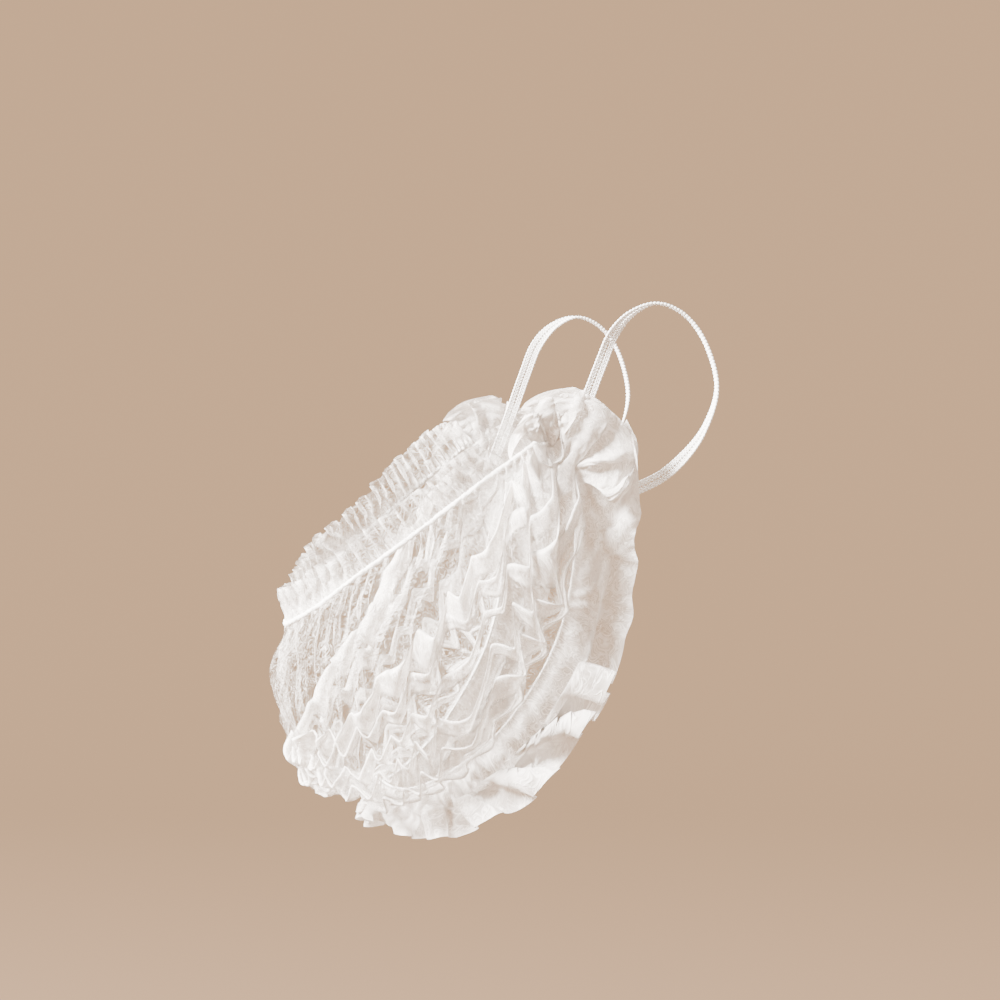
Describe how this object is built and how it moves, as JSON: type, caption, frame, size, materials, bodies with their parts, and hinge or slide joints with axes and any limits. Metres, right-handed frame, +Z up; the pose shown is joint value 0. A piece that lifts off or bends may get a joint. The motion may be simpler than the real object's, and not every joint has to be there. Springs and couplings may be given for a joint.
{
  "type": "disposable beard net",
  "caption": "White nonwoven beard net in its worn shape, pleated and gathered on two elastic strands, with frilled edges, fanned ends and flat elastic ear loops",
  "frame": {"origin": "midway between the tops of the two ear loops, where they pass over the ears", "axes": "+Z up, +X to the wearer's left, the wearer faces -Y"},
  "size_m": [0.1718, 0.1448, 0.1869],
  "materials": {
    "nonwoven": "thin white spunbond nonwoven, translucent, matt",
    "elastic": "white covered elastic, matt"
  },
  "bodies": {
    "root": {"net_sheet": "nonwoven", "upper_elastic": "elastic", "lower_elastic": "elastic", "left_ear_loop": "elastic", "right_ear_loop": "elastic"}
  },
  "joints": []
}
